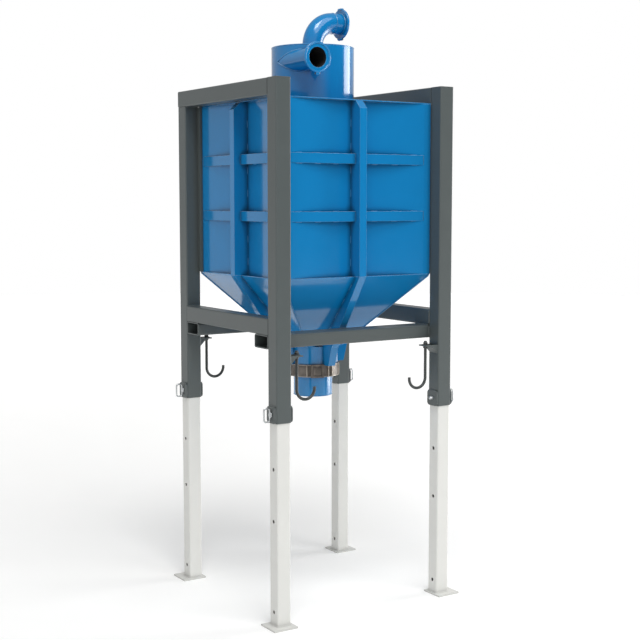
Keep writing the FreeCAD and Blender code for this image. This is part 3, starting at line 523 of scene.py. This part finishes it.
stitches = []
for name, degrees, half, distance in FACES:
    finish(blue_coat, f"hopper_wall_{name}", f"wall_ribs_{name}")
    bend = half - WALL_MARGIN
    middles = np.arange(STITCH_STEP, bend - STITCH, STITCH_STEP)
    for level in [band + edge for band in band_levels for edge in (0, BAND_HIGH)]:
        for x in np.concatenate([-middles, middles]):
            ends = [(x + shift, -distance + wall_depth(x + shift, bend), level)
                    for shift in (-STITCH / 2, STITCH / 2)]
            stitches.append(weld(seam(turned(ends, degrees)), (0, 0, 1), FINE_BEAD))
    inward = turned([(0, 1, 0)], degrees)[0]
    for side in (-1, 1):
        root = (side * RIB_HALF, -distance + wall_depth(RIB_HALF, bend))
        for z in np.arange(wall_low + 0.06, wall_high - 0.08, STITCH_STEP):
            if all(abs(z + STITCH / 2 - band - BAND_HIGH / 2) > BAND_HIGH for band in band_levels):
                ends = [(*root, z), (*root, z + STITCH)]
                stitches.append(weld(seam(turned(ends, degrees)), inward, FINE_BEAD))
# the welds' coat paints no edge highlight on a bead's ripples, so it has no paler lines there,
# but keeps the deep painted shade in inside corners
bead_coat = powder_coat("blue_powder_coat_over_weld", BLUE, 0.3, coat=0.2, edge_light_share=0.0,
                        corner_shade=0.35)
piece("rib_stitch_welds", stitches, bead_coat)


# ---- Pyramid and its fins ---------------------------------------------------------------------
# Four sloping plates welded edge to edge below the walls, with a hollow fin down the middle of each
# that carries the walls' upright ribs on to the collar. The corner seams run from ledge to neck.

finish(blue_coat, "hopper_pyramid", "pyramid_ribs")
PLATE = 0.004                             # thickness of the sheets
NECK_X, NECK_Y = 0.128, 0.134             # half the neck's width each way
cone_low, cone_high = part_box("hopper_pyramid")
ledge_z = cone_high.z - PLATE
seams = []
for side_x in (-1, 1):
    for side_y in (-1, 1):
        ends = [(side_x * (cone_high.x - PLATE), side_y * (cone_high.y - PLATE), ledge_z - 0.005),
                (side_x * NECK_X, side_y * NECK_Y, cone_low.z)]
        seams.append(weld(seam(ends), (0, 0, 1), BEAD))
for _, degrees, _, distance in FACES:
    neck = NECK_Y if degrees in (0, 180) else NECK_X
    top, foot = np.array([-distance, ledge_z]), np.array([-neck, cone_low.z])
    across = turned([(1, 0, 0)], degrees)[0]
    for side in (-1, 1):
        for share in np.arange(0.10, 0.90, 0.20):
            near, far = top + (foot - top) * share, top + (foot - top) * (share + 0.08)
            ends = [(side * RIB_HALF, *near), (side * RIB_HALF, *far)]
            seams.append(weld(seam(turned(ends, degrees)), across, FINE_BEAD))
piece("pyramid_welds", seams, bead_coat)


# ---- Collar and spout -------------------------------------------------------------------------
# A round collar under the neck carries the plain filling spout that a bag's neck slips over.
# A fine bead joins the spout to the collar, and the spout's lower edge is rolled.

finish(blue_coat, "spout_collar", "spout_tube")
collar_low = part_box("spout_collar")[0]
spout_low, spout_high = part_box("spout_tube")
EAST, NORTH, UP = (1, 0, 0), (0, 1, 0), (0, 0, 1)
ROLLED_EDGE = circle(0.0028, 10)          # the round edge of a cut sheet or strip
spout_seam = hoop((0, 0, collar_low.z), EAST, NORTH, spout_high.x)
spout_rim = hoop((0, 0, spout_low.z + 0.002), EAST, NORTH, spout_high.x - 0.001)
piece("spout_welds",
      [weld(spout_seam, UP, FINE_BEAD, closed=True),
       carried(spout_rim[::2], UP, ROLLED_EDGE, closed=True)], blue_coat)


# ---- Strap and buckle -------------------------------------------------------------------------
# The band that clamps a bag to the collar: stainless strip with rolled edges, upright keepers that
# guide it, and a frame with an over-centre lever plate. Dull from handling; its rolled edges and
# keepers are a paler copy of the strip's material.


def dull_strip(name, colour, worn):
    """Cold-rolled stainless strip, handled. Its rolling lines are a noise 1.5 mm wide up the strip
    and forty times as long round it, and its tone goes to worn in rubbed patches of 40 mm."""
    made = bpy.data.materials.new(name)
    made.use_nodes = True
    tree = made.node_tree
    shader = tree.nodes["Principled BSDF"]
    shader.inputs["Metallic"].default_value = 0.85
    place = add(tree, "ShaderNodeTexCoord").outputs["Object"]
    drawn = add(tree, "ShaderNodeVectorMath", {0: place, 1: (1 / 0.06, 1 / 0.06, 1 / 0.0015)},
                operation="MULTIPLY")
    lines = add(tree, "ShaderNodeTexNoise", {"Vector": drawn.outputs["Vector"], "Scale": 1.0,
                                             "Detail": 2})
    grease = add(tree, "ShaderNodeTexNoise", {"Vector": place, "Scale": 1 / 0.04, "Detail": 3})
    rubbed = add(tree, "ShaderNodeMapRange", {"Value": grease.outputs["Fac"], "From Min": 0.42,
                                              "From Max": 0.68})
    tone = add(tree, "ShaderNodeMix", {"Factor": rubbed.outputs["Result"], 6: linear(colour),
                                       7: linear(worn)}, data_type="RGBA")
    gloss = add(tree, "ShaderNodeMapRange", {"Value": lines.outputs["Fac"], "To Min": 0.28,
                                             "To Max": 0.52})
    skin = add(tree, "ShaderNodeBump", {"Height": lines.outputs["Fac"], "Strength": 0.2,
                                        "Distance": 0.0004})
    tree.links.new(tone.outputs[2], shader.inputs["Base Color"])
    tree.links.new(gloss.outputs["Result"], shader.inputs["Roughness"])
    tree.links.new(skin.outputs["Normal"], shader.inputs["Normal"])
    return made


strip_steel = dull_strip("cold_rolled_stainless_strip", "#5d5853", "#77706a")
# a paler copy of the strip's material, for its rolled edges and keepers
pale_strip_steel = dull_strip("pale_stainless_strip", "#a39a90", "#bdb5ab")
finish(strip_steel, "clamp_band", "clamp_buckle")
band_low, band_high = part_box("clamp_band")
band_reach = band_high.x
KEEPERS = (-45, 3, 14, 47)                # degrees from the front, left is minus


def outward(degrees):
    """The level direction at so many degrees from the front, turning towards the right."""
    return np.array([math.sin(math.radians(degrees)), -math.cos(math.radians(degrees)), 0])


strap_edges = [carried(hoop((0, 0, z), EAST, NORTH, band_reach)[::2], UP, ROLLED_EDGE, closed=True)
               for z in (band_low.z, band_high.z)]
KEEPER_LIFT, KEEPER_OVER, KEEPER_STEPS = 0.002, 0.003, 9
keeper_z = np.linspace(band_low.z - KEEPER_OVER, band_high.z + KEEPER_OVER, KEEPER_STEPS)
keeper_ends = np.clip(np.sin(np.linspace(0.12, math.pi - 0.12, KEEPER_STEPS)) * 4, 0.4, 1)
for degrees in KEEPERS:
    spine = outward(degrees) * (band_reach + KEEPER_LIFT) + np.outer(keeper_z, UP)
    strap_edges.append(carried(spine, outward(degrees + 90), cushioned(0.0036, 0.0040, 0.0016),
                               keeper_ends))
piece("strap_edges_and_keepers", strap_edges, pale_strip_steel)

# the lever plate is bowed out by LEVER_BOW * (1 - share^2), with share from -1 to 1 up the plate
BUCKLE_TURN = -23
LEVER_HALF, LEVER_LIFT, LEVER_BOW = 0.029, 0.006, 0.0035
buckle_mid = (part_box("clamp_buckle")[0].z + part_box("clamp_buckle")[1].z) / 2
share = np.linspace(-1, 1, 13)
lever = outward(BUCKLE_TURN) * (band_reach + LEVER_LIFT + LEVER_BOW * (1 - share ** 2))[:, None]
lever[:, 2] = buckle_mid + LEVER_HALF * share
lever_scale = np.clip(np.cos(share * math.pi / 2) * 5, 0.75, 1)
lever_plate = carried(lever, outward(BUCKLE_TURN + 90), cushioned(0.027, 0.0035, 0.0025),
                      lever_scale)
piece("buckle_lever", [lever_plate], strip_steel)


# ---- Roof and cyclone -------------------------------------------------------------------------
# A flat roof plate carries the round shell, welded to it all round. A disc closes the shell's top
# with a ground bead, and the rolled shell has one upright seam at the back.

finish(blue_coat, "hopper_roof", "cyclone_shell", "cyclone_lid")
shell_low, shell_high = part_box("cyclone_shell")
lid_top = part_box("cyclone_lid")[1].z
shell_reach = shell_high.x
ROLLED_SEAM = 0.0025
back = outward(160) * shell_reach
lid_rim = hoop((0, 0, lid_top - 0.003), EAST, NORTH, shell_reach - 0.0005)
back_seam = seam([back + [0, 0, shell_low.z], back + [0, 0, shell_high.z]])
piece("cyclone_welds",
      [weld(hoop((0, 0, shell_low.z), EAST, NORTH, shell_reach), UP, FULL_BEAD, closed=True),
       carried(lid_rim[::2], UP, cushioned(0.003, 0.0018, 0.001), closed=True),
       weld(back_seam, EAST, ROLLED_SEAM)], blue_coat)


# ---- Inlet ------------------------------------------------------------------------------------
# The conveying pipe runs into the shell's left side on a tangent. Its flange has a thick rolled
# rim that a clamp ring closes over, with a cast lug below. A near-black sleeve inside the pipe is
# painted shade in its bore.

PIPE, FLANGE, RIM = 0.065, 0.092, 0.0075  # radii of the pipe, its flange and the rim's section
FLANGE_THICK, PIPE_BEAD = 0.012, 0.004
RIM_HOOP = FLANGE - RIM + 0.0015
finish(blue_coat, "inlet_pipe")
inlet_low, inlet_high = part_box("inlet_pipe")
inlet_x, inlet_z = inlet_low.x + FLANGE, (inlet_low.z + inlet_high.z) / 2
inlet_face = inlet_low.y


def lug(root, tip, across, half_wide, half_deep):
    """A cast lug: a rounded rectangle carried from root to tip, with scale (1 - share^5)^(1/2), so
    that it keeps its width and then closes in a round nose."""
    share = np.linspace(0, 0.985, 12)
    spine = np.asarray(root) + share[:, None] * (np.asarray(tip) - np.asarray(root))
    return carried(spine, across, cushioned(half_wide, half_deep, 0.0035), np.sqrt(1 - share ** 5))


def clamp_bolt(name, middle, along, half):
    """A 9 mm bolt through clamp lugs, chamfered over its last 2 mm at both ends."""
    spine = np.asarray(middle) + np.outer([-half, 0.002 - half, half - 0.002, half], along)
    rod = carried(spine, UP, circle(0.0045, 12), np.array([0.7, 1, 1, 0.7]))
    return piece(name, [rod], hook_coat)


# where the pipe meets the shell: y = -(shell_reach^2 - x^2)^(1/2), with x and z on its circle
turn = np.linspace(0, 2 * math.pi, 200)[:-1]
mouth_x = inlet_x + PIPE * np.cos(turn)
mouth_y = -np.sqrt(np.maximum(shell_reach ** 2 - mouth_x ** 2, 0))
mouth = np.column_stack([mouth_x, mouth_y, inlet_z + PIPE * np.sin(turn)])
mouth_across = np.column_stack([np.cos(turn), np.zeros_like(turn), np.sin(turn)])
rim_path = hoop((inlet_x, inlet_face + 0.003, inlet_z), EAST, UP, RIM_HOOP)[::2]
flange_seam = hoop((inlet_x, inlet_face + FLANGE_THICK, inlet_z), EAST, UP, PIPE)
low_edge = np.array([inlet_x, inlet_face + 0.005, inlet_z - FLANGE + 0.004])
piece("inlet_rim_and_welds",
      [weld(mouth, mouth_across, PIPE_BEAD, closed=True),
       weld(flange_seam, NORTH, FINE_BEAD, closed=True),
       carried(rim_path, NORTH, circle(RIM, 14), closed=True),
       lug(low_edge, low_edge - [0, 0, 0.021], EAST, 0.014, 0.0085)], blue_coat)
clamp_bolt("inlet_clamp_bolt", low_edge - [0, 0, 0.009], EAST, 0.019)


def bore_shade_material():
    """Near-black material for the painted shade in a pipe's bore: its tone varies in soft clouds of
    30 mm, and its grain is 2 mm across."""
    made = bpy.data.materials.new("painted_bore_shade")
    made.use_nodes = True
    tree = made.node_tree
    shader = tree.nodes["Principled BSDF"]
    shader.inputs["IOR"].default_value = 1.52
    shader.inputs["Roughness"].default_value = 0.7
    place = add(tree, "ShaderNodeTexCoord").outputs["Object"]
    tone_cloud = add(tree, "ShaderNodeTexNoise", {"Vector": place, "Scale": 1 / 0.03, "Detail": 4})
    grain = add(tree, "ShaderNodeTexNoise", {"Vector": place, "Scale": 1 / 0.002, "Detail": 2})
    tone = add(tree, "ShaderNodeMix", {"Factor": tone_cloud.outputs["Fac"], 6: linear("#0c0b0b"),
                                       7: linear("#1f1b1a")}, data_type="RGBA")
    skin = add(tree, "ShaderNodeBump", {"Height": grain.outputs["Fac"], "Strength": 0.4,
                                        "Distance": 0.0005})
    tree.links.new(tone.outputs[2], shader.inputs["Base Color"])
    tree.links.new(skin.outputs["Normal"], shader.inputs["Normal"])
    return made


shade_sleeve_material = bore_shade_material()
SHADE_SLEEVE_OUT, SHADE_SLEEVE_IN = PIPE - 0.0045, PIPE - 0.0052


def shade_sleeve(name, start, end, across):
    """A dark sleeve of painted shade inside a bore: the long narrow section between its two radii,
    carried round the axis.
    """
    start, end = np.asarray(start, float), np.asarray(end, float)
    axis = unit(end - start)
    side = np.cross(axis, across)
    middle = (start + end) / 2
    half = np.linalg.norm(end - start) / 2
    thick = (SHADE_SLEEVE_OUT - SHADE_SLEEVE_IN) / 2
    round_path = hoop(middle, across, side, (SHADE_SLEEVE_OUT + SHADE_SLEEVE_IN) / 2)[::3]
    section = np.array([[-half, -thick], [half, -thick], [half, thick], [-half, thick]])
    sleeve = carried(round_path, axis, section, closed=True)
    return piece(name, [sleeve], shade_sleeve_material, smooth=False)


# painted shade: a near-black sleeve inside the inlet's bore
shade_sleeve("inlet_bore_shade_sleeve", (inlet_x, inlet_face + 0.004, inlet_z),
       (inlet_x, inlet_face + 0.190, inlet_z), EAST)


# ---- Outlet -----------------------------------------------------------------------------------
# The riser comes up through the lid and turns to the right in a pressed elbow, welded at both ends.
# Its flange is like the inlet's, with cast clamp lugs above and below.

finish(blue_coat, "outlet_pipe")
outlet_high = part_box("outlet_pipe")[1]
outlet_z, outlet_face = outlet_high.z - FLANGE, outlet_high.x
ELBOW, BUTT_BEAD = 0.145, 0.0022          # the elbow's middle radius, and the bead at its two ends
rim_path = hoop((outlet_face - 0.003, 0, outlet_z), NORTH, UP, RIM_HOOP)[::2]
top_edge = np.array([outlet_face - 0.006, 0, outlet_z + FLANGE - 0.004])
foot_edge = np.array([outlet_face - 0.006, 0, outlet_z - FLANGE + 0.004])
flange_seam = hoop((outlet_face - FLANGE_THICK, 0, outlet_z), NORTH, UP, PIPE)
piece("outlet_rim_and_welds",
      [weld(hoop((0, 0, lid_top), EAST, NORTH, PIPE), UP, PIPE_BEAD, closed=True),
       weld(hoop((0, 0, outlet_z - ELBOW), EAST, NORTH, PIPE), UP, BUTT_BEAD, closed=True),
       weld(hoop((ELBOW, 0, outlet_z), NORTH, UP, PIPE), EAST, BUTT_BEAD, closed=True),
       weld(flange_seam, EAST, FINE_BEAD, closed=True),
       carried(rim_path, EAST, circle(RIM, 14), closed=True),
       lug(top_edge, top_edge + [0, 0, 0.012], NORTH, 0.024, 0.010),
       lug(foot_edge - [0, 0.012, 0], foot_edge - [0.006, 0.012, 0.014], NORTH, 0.011, 0.010),
       lug(foot_edge + [0, 0.012, 0], foot_edge + [-0.006, 0.012, -0.014], NORTH, 0.011, 0.010)],
      blue_coat)
clamp_bolt("outlet_clamp_bolt", foot_edge - [0, 0, 0.008], NORTH, 0.028)
# painted shade: a near-black sleeve inside the outlet's bore
shade_sleeve("outlet_bore_shade_sleeve", (outlet_face - 0.004, 0, outlet_z),
       (outlet_face - 0.070, 0, outlet_z), NORTH)
